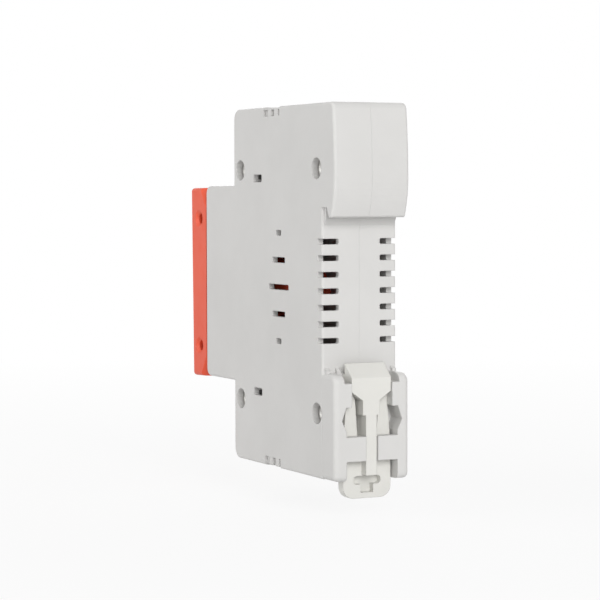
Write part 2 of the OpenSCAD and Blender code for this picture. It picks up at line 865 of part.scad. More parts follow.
module clip_wedge() {
    tip_y = rail_t + clip_room;
    step_z = -rail_h / 2 - wedge_step;
    side_plate(-wedge_w / 2, wedge_w / 2)
        polygon([[tip_y, wedge_tip_z], [tip_y + wedge_bevel_y, wedge_tip_z - wedge_bevel_z],
            [wedge_rear_y, wedge_tip_z - wedge_fold], [wedge_rear_y, wedge_end_z],
            [plate_y, wedge_end_z], [plate_y, step_z], [tip_y, step_z]]);
    rear_plate(plate_y, wedge_rear_y)
        polygon([[-wedge_w / 2, wedge_end_z], [wedge_w / 2, wedge_end_z], [stem_w / 2, stem_top_z],
            [stem_w / 2, stem_end_z], [-stem_w / 2, stem_end_z], [-stem_w / 2, stem_top_z]]);
}

module clip_arm() {
    edge = pull_w / 2;
    rear_plate(plate_y, plate_rear_y)
        polygon([[arm_root_x, arm_root_z], [arm_slot_x, stem_top_z], [arm_tip_x, barb_z - arm_tip_drop],
            [edge - arm_tip_inset, barb_z], [edge - arm_waist_inset, barb_z - arm_waist],
            [edge - arm_root_inset, arm_root_z]]);
}

// T-shaped pocket for a screwdriver in the pull tab
module pull_slot() {
    end_x = tool_slot_half - tool_slot_r;
    rear_plate(plate_rear_y - tool_slot_d, wedge_rear_y + past) {
        for (x = [-end_x, end_x])
            translate([x, tool_slot_z])
                circle(r = tool_slot_r);
        translate([-end_x, tool_slot_z - tool_slot_r])
            square([2 * end_x, 2 * tool_slot_r]);
        translate([-tool_step_w / 2, tool_slot_z - tool_slot_r - tool_step_h])
            square([tool_step_w, tool_step_h + tool_slot_r]);
    }
}

module din_clip() {
    corner_x = pull_w / 2 - pull_r;
    corner_z = pull_end_z + pull_r;
    color(clip_white)
        difference() {
            union() {
                clip_wedge();
                rear_plate(plate_y, wedge_rear_y)
                    translate([-ridge_w / 2, ridge_end_z])
                        square([ridge_w, stem_end_z - ridge_end_z]);
                for (s = [0, 1])
                    mirror([s, 0, 0])
                        clip_arm();
                rear_plate(plate_y, plate_rear_y) {
                    translate([-pull_w / 2, corner_z])
                        square([pull_w, pull_top_z - corner_z]);
                    translate([-corner_x, pull_end_z])
                        square([2 * corner_x, pull_r + past]);
                    for (x = [-corner_x, corner_x])
                        translate([x, corner_z])
                            circle(r = pull_r);
                }
            }
            pull_slot();
        }
}

module z_tube(z0, z1, r, bore) {
    translate([0, fuse_y, z0])
        difference() {
            cylinder(h = z1 - z0, r = r);
            if (bore > 0)
                translate([0, 0, -past])
                    cylinder(h = z1 - z0 + 2 * past, r = bore);
        }
}

module fuse_tube() {
    color([0.93, 0.92, 0.88])
        z_tube(tube_low, tube_top, tube_r, tube_bore / 2);
}

module fuse_cap_upper() {
    color([0.78, 0.77, 0.72])
        difference() {
            z_tube(fuse_top - cap_l, fuse_top, cap_r, 0);
            z_tube(fuse_top - cap_l - past, fuse_top - cap_end_t, cap_r - cap_t, 0);
        }
}

module fuse_cap_lower() {
    color([0.78, 0.77, 0.72])
        difference() {
            z_tube(fuse_low, fuse_low + cap_l, cap_r, 0);
            z_tube(fuse_low + cap_end_t, fuse_low + cap_l + past, cap_r - cap_t, 0);
        }
}

module strip_box(grow, z0, z1) {
    x = strip_w / 2 + grow;
    y = strip_t / 2 + grow;
    box([-x, fuse_y - y, z0], [x, fuse_y + y, z1]);
}

module fuse_element() {
    notch_n = 5;
    notch_r = strip_w * 0.36;
    length = fuse_l - 2 * cap_end_t;
    color([0.85, 0.85, 0.87])
        difference() {
            strip_box(0, fuse_low + cap_end_t, fuse_top - cap_end_t);
            for (i = [1:notch_n], s = [-1, 1])
                translate([s * strip_w / 2, fuse_y, fuse_low + cap_end_t + length * i / (notch_n + 1)])
                    rotate([90, 0, 0])
                        cylinder(h = 2 * strip_t, r = notch_r, center = true);
        }
}

module fuse_filler() {
    color([0.90, 0.86, 0.76])
        difference() {
            z_tube(tube_low, tube_top, tube_bore / 2 - run_gap, 0);
            strip_box(run_gap, tube_low - past, tube_top + past);
        }
}

module fuse_end_discs() {
    color([0.60, 0.50, 0.36])
        for (z = [fuse_low + cap_end_t, tube_top])
            difference() {
                z_tube(z, z + disc_t, cap_r - cap_t - run_gap, 0);
                strip_box(run_gap, z - past, z + disc_t + past);
            }
}

module contact() {
    color([0.72, 0.62, 0.52]) {
        for (s = [0, 1])
            mirror([s, 0, 0])
                side_plate(blade_in, blade_out)
                    polygon([[blade_front_y, blade_z + blade_lead], [blade_front_y + blade_lead, blade_z],
                        [blade_rear_y, blade_z],
                        [blade_rear_y, web_z + contact_t], [web_front_y, web_z + contact_t],
                        [web_front_y, blade_end_z], [blade_front_y, blade_end_z]]);
        box([-blade_out, web_front_y, web_z], [blade_out, blade_rear_y, web_z + contact_t]);
        box([-blade_out, blade_rear_y - past, web_z], [blade_out, bar_rear_y, web_z + contact_t]);
        box([-bar_w / 2, bar_front_y, web_z], [bar_w / 2, bar_rear_y, bar_end_z]);
    }
}

module upper_contact() {
    contact();
}

module lower_contact() {
    at_lower_end()
        contact();
}

module jaw_spring() {
    leg_in = blade_out + run_gap;
    leg_out = leg_in + spring_t;
    top = web_z + contact_t + seat_gap;
    front = web_front_y + spring_inset;
    rear = blade_rear_y - spring_inset;
    color([0.60, 0.61, 0.63])
        union() {
            box([-leg_out, front, top], [leg_out, rear, top + spring_t]);
            for (s = [0, 1])
                mirror([s, 0, 0])
                    box([leg_in, front, blade_z + spring_short], [leg_out, rear, top + spring_t]);
        }
}

module upper_jaw_spring() {
    jaw_spring();
}

module lower_jaw_spring() {
    at_lower_end()
        jaw_spring();
}

module clamp_cage() {
    color([0.62, 0.63, 0.65])
        difference() {
            box([-cage_w / 2, cage_front_y - cage_nut_t, cage_low_z],
                [cage_w / 2, cage_rear_y + cage_rear_t, cage_high_z]);
            box([-cage_in_w / 2, cage_front_y, cage_low_z - past],
                [cage_in_w / 2, cage_rear_y, cage_high_z + past]);
            y_rod(cage_front_y - cage_nut_t - past, cage_front_y + past, terminal_z, screw_d / 2 + run_gap);
        }
}

module upper_clamp_cage() {
    clamp_cage();
}

module lower_clamp_cage() {
    at_lower_end()
        clamp_cage();
}

module terminal_screw() {
    slot_w = 0.9;
    slot_l = screw_head_d * 0.78;
    slot_deep = screw_head_h * 0.55;
    color([0.74, 0.73, 0.68])
        difference() {
            union() {
                y_rod(screw_head_y, screw_neck_y, terminal_z, screw_head_d / 2);
                y_rod(screw_neck_y - past / 2, screw_tip_y, terminal_z, screw_d / 2);
            }
            for (a = [0, 90])
                translate([0, screw_head_y, terminal_z])
                    rotate([0, a, 0])
                        translate([-slot_l / 2, -past, -slot_w / 2])
                            cube([slot_l, slot_deep + past, slot_w]);
        }
}

module upper_terminal_screw() {
    terminal_screw();
}

module lower_terminal_screw() {
    at_lower_end()
        terminal_screw();
}

right_shell();
left_shell();
housing_rivets();
fuse_carrier();
carrier_pivot_pin();
din_clip();
fuse_tube();
fuse_cap_upper();
fuse_cap_lower();
fuse_element();
fuse_filler();
fuse_end_discs();
upper_contact();
lower_contact();
upper_jaw_spring();
lower_jaw_spring();
upper_clamp_cage();
lower_clamp_cage();
upper_terminal_screw();
lower_terminal_screw();
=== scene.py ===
# %% [markdown]
# # A fuse disconnector for a switchboard rail
#
# The real thing is a slim grey box, one module wide, that clips on a 35 mm rail. Its red front
# swings out and brings a cartridge fuse with it. CAD already holds every solid in its place, so
# this lesson only dresses it: a camera at the photograph's angle, soft light, one finish for each
# material, and the small turned pieces that CAD keeps plain.

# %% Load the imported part
import json
import math

import bpy
from mathutils import Euler, Matrix, Vector


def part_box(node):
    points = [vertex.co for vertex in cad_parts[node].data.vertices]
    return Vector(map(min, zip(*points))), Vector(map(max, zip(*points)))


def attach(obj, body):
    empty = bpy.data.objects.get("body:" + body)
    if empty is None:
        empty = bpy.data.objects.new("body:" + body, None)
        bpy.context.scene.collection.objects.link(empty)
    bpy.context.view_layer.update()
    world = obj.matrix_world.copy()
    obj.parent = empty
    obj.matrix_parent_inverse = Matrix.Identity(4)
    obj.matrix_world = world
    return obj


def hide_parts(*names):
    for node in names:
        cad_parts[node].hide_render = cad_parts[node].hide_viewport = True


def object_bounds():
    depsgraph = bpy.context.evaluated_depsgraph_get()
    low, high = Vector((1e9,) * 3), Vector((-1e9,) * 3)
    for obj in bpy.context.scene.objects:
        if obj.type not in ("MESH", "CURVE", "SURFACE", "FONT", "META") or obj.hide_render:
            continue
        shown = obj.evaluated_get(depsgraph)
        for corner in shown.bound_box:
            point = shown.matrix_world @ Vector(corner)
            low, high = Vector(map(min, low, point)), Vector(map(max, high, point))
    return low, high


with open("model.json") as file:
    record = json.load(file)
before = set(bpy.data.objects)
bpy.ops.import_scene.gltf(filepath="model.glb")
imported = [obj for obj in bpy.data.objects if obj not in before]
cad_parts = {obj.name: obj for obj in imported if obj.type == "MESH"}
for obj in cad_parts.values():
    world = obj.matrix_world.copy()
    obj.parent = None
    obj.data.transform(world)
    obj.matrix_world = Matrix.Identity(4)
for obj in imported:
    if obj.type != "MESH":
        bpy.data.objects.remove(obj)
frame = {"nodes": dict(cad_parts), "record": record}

MM = 0.001
cad_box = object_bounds()
part_nodes = frame["nodes"]
part_size = cad_box[1] - cad_box[0]
print("solids:", len(part_nodes), "size in mm:", [round(v / MM, 2) for v in part_size])

# %% [markdown]
# ## Camera
#
# A product photograph taken from far away has little perspective, and the amount it has gives the
# distance. The edges of the photograph were measured and solved for a place, a direction and a
# focal length, so the camera is typed in here as numbers instead of being aimed by eye. Heading
# turns about Z, tilt is the lean from looking straight down, and the roll is the small lean of
# the hand-held frame.

# %% Camera at the photograph's angle
CAMERA_PLACE = Vector((214.475, 408.421, 20.291)) * MM
CAMERA_HEADING = math.radians(153.9294)
CAMERA_TILT = math.radians(87.2206)
CAMERA_ROLL = math.radians(-0.1401)
FOCAL_LENGTH_PX = 2157.68
PHOTO_SIZE_PX = 600
SENSOR_MM = 36.0
NEAREST_SEEN = 10 * MM

camera_data = bpy.data.cameras.new("photo_camera")
camera_data.sensor_width = SENSOR_MM
camera_data.lens = FOCAL_LENGTH_PX * SENSOR_MM / PHOTO_SIZE_PX
camera_data.clip_start = NEAREST_SEEN
camera = bpy.data.objects.new("photo_camera", camera_data)
turn = Euler((CAMERA_TILT, 0.0, CAMERA_HEADING)).to_matrix() @ Matrix.Rotation(CAMERA_ROLL, 3, "Z")
camera.matrix_world = Matrix.Translation(CAMERA_PLACE) @ turn.to_4x4()
bpy.context.scene.collection.objects.link(camera)
bpy.context.scene.camera = camera
bpy.context.scene.view_settings.view_transform = "Standard"
print("lens in mm:", round(camera_data.lens, 1))

# %% [markdown]
# ## Room
#
# The photograph has a pure white ground and light from all sides. A white world gives most of
# that light. The lamps must not be turned up to make the ground white, because the grey plastic
# would burn out too. Light Path tells a ray that starts at the lens, or that mirrors off metal or
# passes through glass, from a ray that carries light to a surface, so the world can look white
# and still light the part gently.

# %% White world with a gentle light level
AMBIENT_LEVEL = 0.375
WHITE = (1, 1, 1, 1)


def add_node(tree, kind, values=None):
    """A new node in a tree, with its input sockets set by name."""
    made = tree.nodes.new(kind)
    for socket, value in (values or {}).items():
        made.inputs[socket].default_value = value
    return made


def seen_ray(tree):
    """A socket that is 1 for rays from the lens, off metal or through glass, and 0 for the rest."""
    path = add_node(tree, "ShaderNodeLightPath")
    mirror_or_lens = add_node(tree, "ShaderNodeMath")
    mirror_or_lens.operation = "MAXIMUM"
    tree.links.new(path.outputs["Is Camera Ray"], mirror_or_lens.inputs[0])
    tree.links.new(path.outputs["Is Glossy Ray"], mirror_or_lens.inputs[1])
    seen = add_node(tree, "ShaderNodeMath")
    seen.operation = "MAXIMUM"
    tree.links.new(mirror_or_lens.outputs[0], seen.inputs[0])
    tree.links.new(path.outputs["Is Transmission Ray"], seen.inputs[1])
    return seen.outputs[0]


world = bpy.data.worlds.new("white_room")
world.use_nodes = True
world_tree = world.node_tree
world_tree.nodes.clear()
lighting = add_node(world_tree, "ShaderNodeBackground", {"Color": WHITE, "Strength": AMBIENT_LEVEL})
backdrop = add_node(world_tree, "ShaderNodeBackground", {"Color": WHITE, "Strength": 1.0})
choice = add_node(world_tree, "ShaderNodeMixShader")
world_out = add_node(world_tree, "ShaderNodeOutputWorld")
world_tree.links.new(seen_ray(world_tree), choice.inputs[0])
world_tree.links.new(lighting.outputs[0], choice.inputs[1])
world_tree.links.new(backdrop.outputs[0], choice.inputs[2])
world_tree.links.new(choice.outputs[0], world_out.inputs["Surface"])
bpy.context.scene.world = world
print("ambient level:", AMBIENT_LEVEL)

# %% [markdown]
# ## Floor
#
# The real part hangs on its rail and never stands on a table. The floor is one large plane just
# under it, lower by the travel of the sliding clip, so that the clip's pull tab stays in sight
# when it is pulled down. The floor's material is mostly white glow for the lens, with a little
# matt white left in near the part, so that the soft shadow there stays. Further out the glow
# takes over, and the floor meets the white world with no line between.

# %% Pale floor that keeps the shadow
FLOOR_HALF = 1.5
FLOOR_CLEARANCE = 0.05 * MM
FLOOR_GLOW = 0.88
FLOOR_PAINT = 0.8
FADE_FROM = 0.08
FADE_TO = 0.45

joint_rows = {row["name"]: row for row in frame["record"]["behaviour"]["joints"]}
clip_travel = joint_rows["clip_slide"]["range_m"][1]
floor_height = cad_box[0].z - clip_travel - FLOOR_CLEARANCE
bpy.ops.object.select_all(action="DESELECT")
bpy.ops.mesh.primitive_plane_add(size=2 * FLOOR_HALF, location=(0, 0, floor_height))
floor = bpy.context.object
floor.name = "pale_floor"
floor_material = bpy.data.materials.new("pale_floor_paint")
floor_material.use_nodes = True
floor_tree = floor_material.node_tree
floor_tree.nodes.clear()
paint = add_node(floor_tree, "ShaderNodeBsdfDiffuse", {
    "Color": (FLOOR_PAINT, FLOOR_PAINT, FLOOR_PAINT, 1)})
glow = add_node(floor_tree, "ShaderNodeEmission", {"Color": WHITE, "Strength": 1.0})
floor_place = add_node(floor_tree, "ShaderNodeTexCoord")
reach = add_node(floor_tree, "ShaderNodeVectorMath")
reach.operation = "LENGTH"
fade = add_node(floor_tree, "ShaderNodeMapRange", {
    "From Min": FADE_FROM, "From Max": FADE_TO, "To Min": FLOOR_GLOW, "To Max": 1.0})
share = add_node(floor_tree, "ShaderNodeMath")
share.operation = "MULTIPLY"
floor_tree.links.new(floor_place.outputs["Object"], reach.inputs[0])
floor_tree.links.new(reach.outputs["Value"], fade.inputs["Value"])
floor_tree.links.new(fade.outputs["Result"], share.inputs[1])
floor_mix = add_node(floor_tree, "ShaderNodeMixShader")
floor_out = add_node(floor_tree, "ShaderNodeOutputMaterial")
floor_tree.links.new(seen_ray(floor_tree), share.inputs[0])
floor_tree.links.new(share.outputs[0], floor_mix.inputs[0])
floor_tree.links.new(paint.outputs[0], floor_mix.inputs[1])
floor_tree.links.new(glow.outputs[0], floor_mix.inputs[2])
floor_tree.links.new(floor_mix.outputs[0], floor_out.inputs["Surface"])
floor.data.materials.append(floor_material)
print("floor height in mm:", round(floor_height / MM, 2))

# %% [markdown]
# ## Lamps
#
# In the photograph the back of the box is a little brighter than its side, and no shadow has a
# hard edge. Area lamps do that: the wider the lamp, the softer the shadow. The main one stands
# high behind the rail side, and its height sets how far the shadow reaches below the hook. A
# small one stands beside the lens, at the lens's own height, and shines straight into the vents,
# so that the red fin glows behind them. A third fills the near side, and a fourth lights the
# front for views from there.

# %% Four soft lamps
SOFT_LAMPS = {
    "rear_softbox": {"place": (0.18, 1.18, 0.48), "size": 0.58, "watts": 9.85},
    "lens_softbox": {"place": (0.58, 1.14, 0.06), "size": 0.18, "watts": 1.85},
    "side_softbox": {"place": (1.15, -0.3, 0.35), "size": 0.9, "watts": 5.9},
    "front_softbox": {"place": (-0.7, -1.0, 0.6), "size": 1.0, "watts": 5.2},
}

for lamp_name, lamp in SOFT_LAMPS.items():
    light = bpy.data.lights.new(lamp_name, "AREA")
    light.size = lamp["size"]
    light.energy = lamp["watts"]
    stand = bpy.data.objects.new(lamp_name, light)
    stand.location = lamp["place"]
    stand.rotation_euler = Vector(lamp["place"]).to_track_quat("Z", "Y").to_euler()
    stand.visible_camera = False
    bpy.context.scene.collection.objects.link(stand)
print("lamps:", list(SOFT_LAMPS))

# %% [markdown]
# ## Moulded plastic
#
# The two half shells, the red carrier and the clip are injection moulded. Up close such plastic
# isn't one flat colour: the spark-eroded mould leaves a fine matt grain, the colour drifts a
# little where the melt cooled slower, and every edge is rounded by a few tenths of a millimetre.
# Three noise patterns give those at their own scales. The Bevel node rounds the edges in the
# shading alone, which leaves the CAD mesh untouched.

# %% Colours and patterns
# Noise seldom leaves this band, so colours and shine run from end to end within it
NOISE_BAND = (0.3, 0.7)
SOFT_DETAIL = 3.0
MID_GREY = 128


def srgb(red, green, blue):
    """A screen colour, 0 to 255, as the linear values that Blender uses, by the sRGB curve."""
    shares = (red / 255, green / 255, blue / 255)
    linear = [v / 12.92 if v <= 0.04045 else ((v + 0.055) / 1.055) ** 2.4 for v in shares]
    return (*linear, 1.0)


def two_tone(tree, factor, low_colour, high_colour, band=NOISE_BAND):
    """A colour ramp from one tone to the other, as the factor socket runs through the band."""
    ramp = add_node(tree, "ShaderNodeValToRGB")
    for stop, position, colour in zip(ramp.color_ramp.elements, band, (low_colour, high_colour)):
        stop.position = position
        stop.color = colour
    tree.links.new(factor, ramp.inputs["Fac"])
    return ramp.outputs["Color"]


def spread(tree, factor, low, high):
    """A number that runs from low to high as the factor socket runs through the noise band."""
    ranged = add_node(tree, "ShaderNodeMapRange", {
        "From Min": NOISE_BAND[0], "From Max": NOISE_BAND[1], "To Min": low, "To Max": high})
    tree.links.new(factor, ranged.inputs["Value"])
    return ranged.outputs["Result"]


def noise(tree, place, scale, detail=SOFT_DETAIL, stretch=None):
    """A noise pattern on the piece's own coordinates, its grains per metre given by scale."""
    pattern = add_node(tree, "ShaderNodeTexNoise", {"Scale": scale, "Detail": detail})
    if stretch:
        mapping = add_node(tree, "ShaderNodeMapping", {"Scale": stretch})
        tree.links.new(place, mapping.inputs["Vector"])
        place = mapping.outputs["Vector"]
    tree.links.new(place, pattern.inputs["Vector"])
    return pattern.outputs["Fac"]


print("a screen's mid grey in linear light:", round(srgb(MID_GREY, MID_GREY, MID_GREY)[0], 3))

# %% Rounded edges and fine grain
BEVEL_SAMPLES = 6
# Up to the first distance from mid width, edges are rounded by no more than the second
SEAM_CRISP = 0.3 * MM
SEAM_SOFT = 0.12 * MM


def soft_edges(tree, radius):
    """A normal that rounds edges by the radius, in the shading alone, but keeps the seam fine."""
    bevel = add_node(tree, "ShaderNodeBevel")
    bevel.samples = BEVEL_SAMPLES
    place = add_node(tree, "ShaderNodeTexCoord")
    axes = add_node(tree, "ShaderNodeSeparateXYZ")
    off_seam = add_node(tree, "ShaderNodeMath")
    off_seam.operation = "ABSOLUTE"
    ranged = add_node(tree, "ShaderNodeMapRange", {
        "From Min": SEAM_CRISP, "From Max": SEAM_CRISP + radius,
        "To Min": SEAM_SOFT, "To Max": radius})
    tree.links.new(place.outputs["Object"], axes.inputs["Vector"])
    tree.links.new(axes.outputs["X"], off_seam.inputs[0])
    tree.links.new(off_seam.outputs["Value"], ranged.inputs["Value"])
    tree.links.new(ranged.outputs["Result"], bevel.inputs["Radius"])
    return bevel.outputs["Normal"]


def bump(tree, height, depth, normal):
    """Small hills of the given depth on top of a normal."""
    hills = add_node(tree, "ShaderNodeBump", {"Strength": 1.0, "Distance": depth})
    tree.links.new(height, hills.inputs["Height"])
    tree.links.new(normal, hills.inputs["Normal"])
    return hills.outputs["Normal"]


def new_finish(name):
    """An empty node material, with its tree, its shader and the piece's own coordinates."""
    finish = bpy.data.materials.new(name)
    finish.use_nodes = True
    tree = finish.node_tree
    place = add_node(tree, "ShaderNodeTexCoord").outputs["Object"]
    return finish, tree, tree.nodes["Principled BSDF"], place


print("edge rounding at the seam in mm:", round(SEAM_SOFT / MM, 2))

# %% The three plastics
PLASTIC_CLOUD_SCALE = 55.0
PLASTIC_PATCH_SCALE = 320.0
PLASTIC_GLOSS = 0.35
PLASTIC_SHINE_DRIFT = (-0.04, 0.05)
GRAIN_DETAIL = 2.0


def moulded_plastic(name, dark, light, roughness, grain_scale, grain_depth, edge):
    """Moulded plastic between two close tones, with its grain and rounded edges."""
    finish, tree, shader, place = new_finish(name)
    cloud = noise(tree, place, PLASTIC_CLOUD_SCALE)
    patch = noise(tree, place, PLASTIC_PATCH_SCALE)
    grain = noise(tree, place, grain_scale, detail=GRAIN_DETAIL)
    shiny, dull = (roughness + drift for drift in PLASTIC_SHINE_DRIFT)
    tree.links.new(two_tone(tree, cloud, dark, light), shader.inputs["Base Color"])
    tree.links.new(spread(tree, patch, shiny, dull), shader.inputs["Roughness"])
    rounded = soft_edges(tree, edge)
    tree.links.new(bump(tree, grain, grain_depth, rounded), shader.inputs["Normal"])
    shader.inputs["Specular IOR Level"].default_value = PLASTIC_GLOSS
    return finish


shell_plastic = moulded_plastic(
    "light_grey_shell_plastic", dark=srgb(203, 202, 200), light=srgb(208, 207, 205),
    roughness=0.52, grain_scale=2400.0, grain_depth=0.012 * MM, edge=0.3 * MM)
carrier_plastic = moulded_plastic(
    "red_carrier_plastic", dark=srgb(221, 83, 55), light=srgb(227, 90, 61),
    roughness=0.45, grain_scale=2600.0, grain_depth=0.010 * MM, edge=0.3 * MM)
clip_plastic = moulded_plastic(
    "off_white_clip_plastic", dark=srgb(212, 211, 206), light=srgb(217, 216, 211),
    roughness=0.4, grain_scale=1800.0, grain_depth=0.008 * MM, edge=0.25 * MM)
print("plastics:", shell_plastic.name, carrier_plastic.name, clip_plastic.name)

# %% [markdown]
# ## Plated metal
#
# Rivets, pin, cages, screws and springs are plated steel, and the contacts are tinned copper.
# Plating mirrors the room softly: drawn and stamped metal keeps fine scratches along the way it
# was pulled. A noise pattern that is squeezed across and stretched along gives such scratches,
# and a slow second pattern clouds the shine.

# %% A recipe for plated metal
METAL_CLOUD_SCALE = 240.0
METAL_SHINE_DRIFT = (-0.08, 0.1)
SCRATCH_DETAIL = 4.0
# With a stretch given, the stretch alone sets the size of the pattern
UNIT_SCALE = 1.0
ALONG_X = (150.0, 5000.0, 5000.0)


def plated_metal(name, dark, light, roughness, stretch, scratch_depth, edge):
    """Plated metal between two close tones, scratched along the axis with the smallest stretch."""
    finish, tree, shader, place = new_finish(name)
    cloud = noise(tree, place, METAL_CLOUD_SCALE)
    scratches = noise(tree, place, UNIT_SCALE, detail=SCRATCH_DETAIL, stretch=stretch)
    shiny, dull = (roughness + drift for drift in METAL_SHINE_DRIFT)
    tree.links.new(two_tone(tree, cloud, dark, light), shader.inputs["Base Color"])
    tree.links.new(spread(tree, scratches, shiny, dull), shader.inputs["Roughness"])
    rounded = soft_edges(tree, edge)
    tree.links.new(bump(tree, scratches, scratch_depth, rounded), shader.inputs["Normal"])
    shader.inputs["Metallic"].default_value = 1.0
    return finish


rivet_nickel = plated_metal(
    "nickel_rivet", dark=srgb(170, 169, 166), light=srgb(182, 181, 177),
    roughness=0.42, stretch=ALONG_X, scratch_depth=0.002 * MM, edge=0.1 * MM)
print("first metal:", rivet_nickel.name)

# %% Four more metals
ALONG_Y = (5000.0, 150.0, 5000.0)
ROUND_Z = (400.0, 400.0, 6000.0)

zinc_steel = plated_metal(
    "zinc_plated_steel", dark=srgb(180, 183, 188), light=srgb(198, 200, 204),
    roughness=0.38, stretch=ALONG_Y, scratch_depth=0.003 * MM, edge=0.12 * MM)
screw_zinc = plated_metal(
    "zinc_plated_screw", dark=srgb(196, 193, 180), light=srgb(212, 209, 198),
    roughness=0.32, stretch=ROUND_Z, scratch_depth=0.002 * MM, edge=0.12 * MM)
tinned_copper = plated_metal(
    "tinned_copper", dark=srgb(204, 190, 172), light=srgb(216, 208, 196),
    roughness=0.36, stretch=ALONG_Y, scratch_depth=0.003 * MM, edge=0.1 * MM)
silver_plate = plated_metal(
    "silver_plated_cap", dark=srgb(214, 212, 204), light=srgb(226, 225, 219),
    roughness=0.26, stretch=ROUND_Z, scratch_depth=0.002 * MM, edge=0.2 * MM)
print("more metals:", [m.name for m in (zinc_steel, screw_zinc, tinned_copper, silver_plate)])

# %% [markdown]
# ## Ceramic, sand and fibre board
#
# The cartridge fuse is a fired ceramic tube. It is white, dense and dull, with tiny darker
# specks. Inside it lies quartz sand round a silver strip, closed by fibre discs. They show only
# when the fuse is opened, but a finish is still theirs: grains from a Voronoi pattern for the
# sand, stretched noise for the fibre.

# %% Fired ceramic
SPECK_SCALE = 1500.0
SPECK_BAND = (0.22, 0.38)
PORE_SCALE = 4000.0
PORE_DEPTH = 0.01 * MM
CERAMIC_SHINE = (0.5, 0.68)
CERAMIC_EDGE = 0.2 * MM
FINE_DETAIL = 5.0


def fired_ceramic(name, body, speck):
    """Dull white ceramic with fine dark specks."""
    finish, tree, shader, place = new_finish(name)
    specks = noise(tree, place, SPECK_SCALE, detail=FINE_DETAIL)
    pores = noise(tree, place, PORE_SCALE, detail=GRAIN_DETAIL)
    tree.links.new(two_tone(tree, specks, speck, body, SPECK_BAND), shader.inputs["Base Color"])
    tree.links.new(spread(tree, pores, *CERAMIC_SHINE), shader.inputs["Roughness"])
    rounded = soft_edges(tree, CERAMIC_EDGE)
    tree.links.new(bump(tree, pores, PORE_DEPTH, rounded), shader.inputs["Normal"])
    return finish


fuse_ceramic = fired_ceramic(
    "fired_fuse_ceramic", body=srgb(236, 233, 224), speck=srgb(214, 206, 190))
print("tube:", fuse_ceramic.name)

# %% Quartz sand
SAND_SCALE = 2800.0
SAND_BAND = (0.1, 0.8)
SAND_DEPTH = 0.08 * MM
SAND_EDGE = 0.1 * MM
SAND_ROUGHNESS = 0.7


def quartz_sand(name, dark, light):
    """Bonded grains of quartz, pale in the middle and darker towards the edges."""
    finish, tree, shader, place = new_finish(name)
    grains = add_node(tree, "ShaderNodeTexVoronoi", {"Scale": SAND_SCALE})
    from_middle = grains.outputs["Distance"]
    tree.links.new(place, grains.inputs["Vector"])
    tree.links.new(two_tone(tree, from_middle, light, dark, SAND_BAND), shader.inputs["Base Color"])
    rounded = soft_edges(tree, SAND_EDGE)
    tree.links.new(bump(tree, from_middle, SAND_DEPTH, rounded), shader.inputs["Normal"])
    shader.inputs["Roughness"].default_value = SAND_ROUGHNESS
    return finish


fuse_sand = quartz_sand("bonded_quartz_sand", dark=srgb(196, 182, 150), light=srgb(226, 216, 190))
print("filling:", fuse_sand.name)

# %% Fibre board
FIBRE_STRETCH = (400.0, 3500.0, 1500.0)
FIBRE_DEPTH = 0.02 * MM
FIBRE_EDGE = 0.05 * MM
FIBRE_ROUGHNESS = 0.75


def fibre_board(name, dark, light):
    """Pressed fibre, with threads that run across the disc."""
    finish, tree, shader, place = new_finish(name)
    threads = noise(tree, place, UNIT_SCALE, detail=FINE_DETAIL, stretch=FIBRE_STRETCH)
    tree.links.new(two_tone(tree, threads, dark, light), shader.inputs["Base Color"])
    rounded = soft_edges(tree, FIBRE_EDGE)
    tree.links.new(bump(tree, threads, FIBRE_DEPTH, rounded), shader.inputs["Normal"])
    shader.inputs["Roughness"].default_value = FIBRE_ROUGHNESS
    return finish


fuse_fibre = fibre_board("pressed_fibre_board", dark=srgb(120, 96, 66), light=srgb(156, 128, 92))
print("end discs:", fuse_fibre.name)

# %% [markdown]
# ## Dressing the solids
#
# The record names a slot for each solid, and each slot has one finish. The solid's own material
# slots take it, which leaves its mesh as CAD made it.

# %% One finish for each slot
FINISH_OF_SLOT = {
    "shell": shell_plastic,
    "carrier": carrier_plastic,
    "clip": clip_plastic,
    "rivet": rivet_nickel,
    "steel": zinc_steel,
    "screw": screw_zinc,
    "contact": tinned_copper,
    "cap": silver_plate,
    "ceramic": fuse_ceramic,
    "sand": fuse_sand,
    "fibre": fuse_fibre,
}

for subpart in frame["record"]["subparts"]:
    solid = part_nodes[subpart["node"]]
    solid.data.materials.clear()
    solid.data.materials.append(FINISH_OF_SLOT[subpart["material_slot"]])

# %% [markdown]
# ## Rolled rivets
#
# Four hollow rivets hold the half shells together. A headed tube is pushed through, and a punch
# rolls its open end outwards into a second head, so each end shows a round lip that turns down
# into a small hollow. A drawn profile could be spun for this. Here the end faces of a plain rod
# are extruded again and again, and each time scaled to the next ring of the profile, which is
# close to what the punch does. Both ends grow together, because they mirror each other about mid
# width. One rivet is made, and copies of it go to the other three places. Extruding puts the new
# faces in another order each run, so they are sorted at the end, and every run gives the same
# mesh.

# %% Helpers for shaping by hand
# A face whose normal has at least this much of an axis looks along it
FACING = 0.9
ON_THE_SPOT = (0, 0, 0)
# A place off every plane of symmetry, so that no two faces lie equally far from it
SORT_FROM = Vector((31, 47, 73)) * MM


def start_fresh():
    """Leave edit mode and deselect everything, so the next operator acts on its piece alone."""
    if bpy.context.object and bpy.context.object.mode != "OBJECT":
        bpy.ops.object.mode_set(mode="OBJECT")
    bpy.ops.object.select_all(action="DESELECT")


def pick_faces(piece, wanted):
    """Go to edit mode with the faces selected that a test accepts, by their middle and normal."""
    bpy.ops.object.mode_set(mode="OBJECT")
    bpy.context.tool_settings.mesh_select_mode = (False, False, True)
    mesh = piece.data
    for kind in (mesh.vertices, mesh.edges, mesh.polygons):
        kind.foreach_set("select", [False] * len(kind))
    for face in mesh.polygons:
        face.select = wanted(face.center, face.normal)
    bpy.ops.object.mode_set(mode="EDIT")


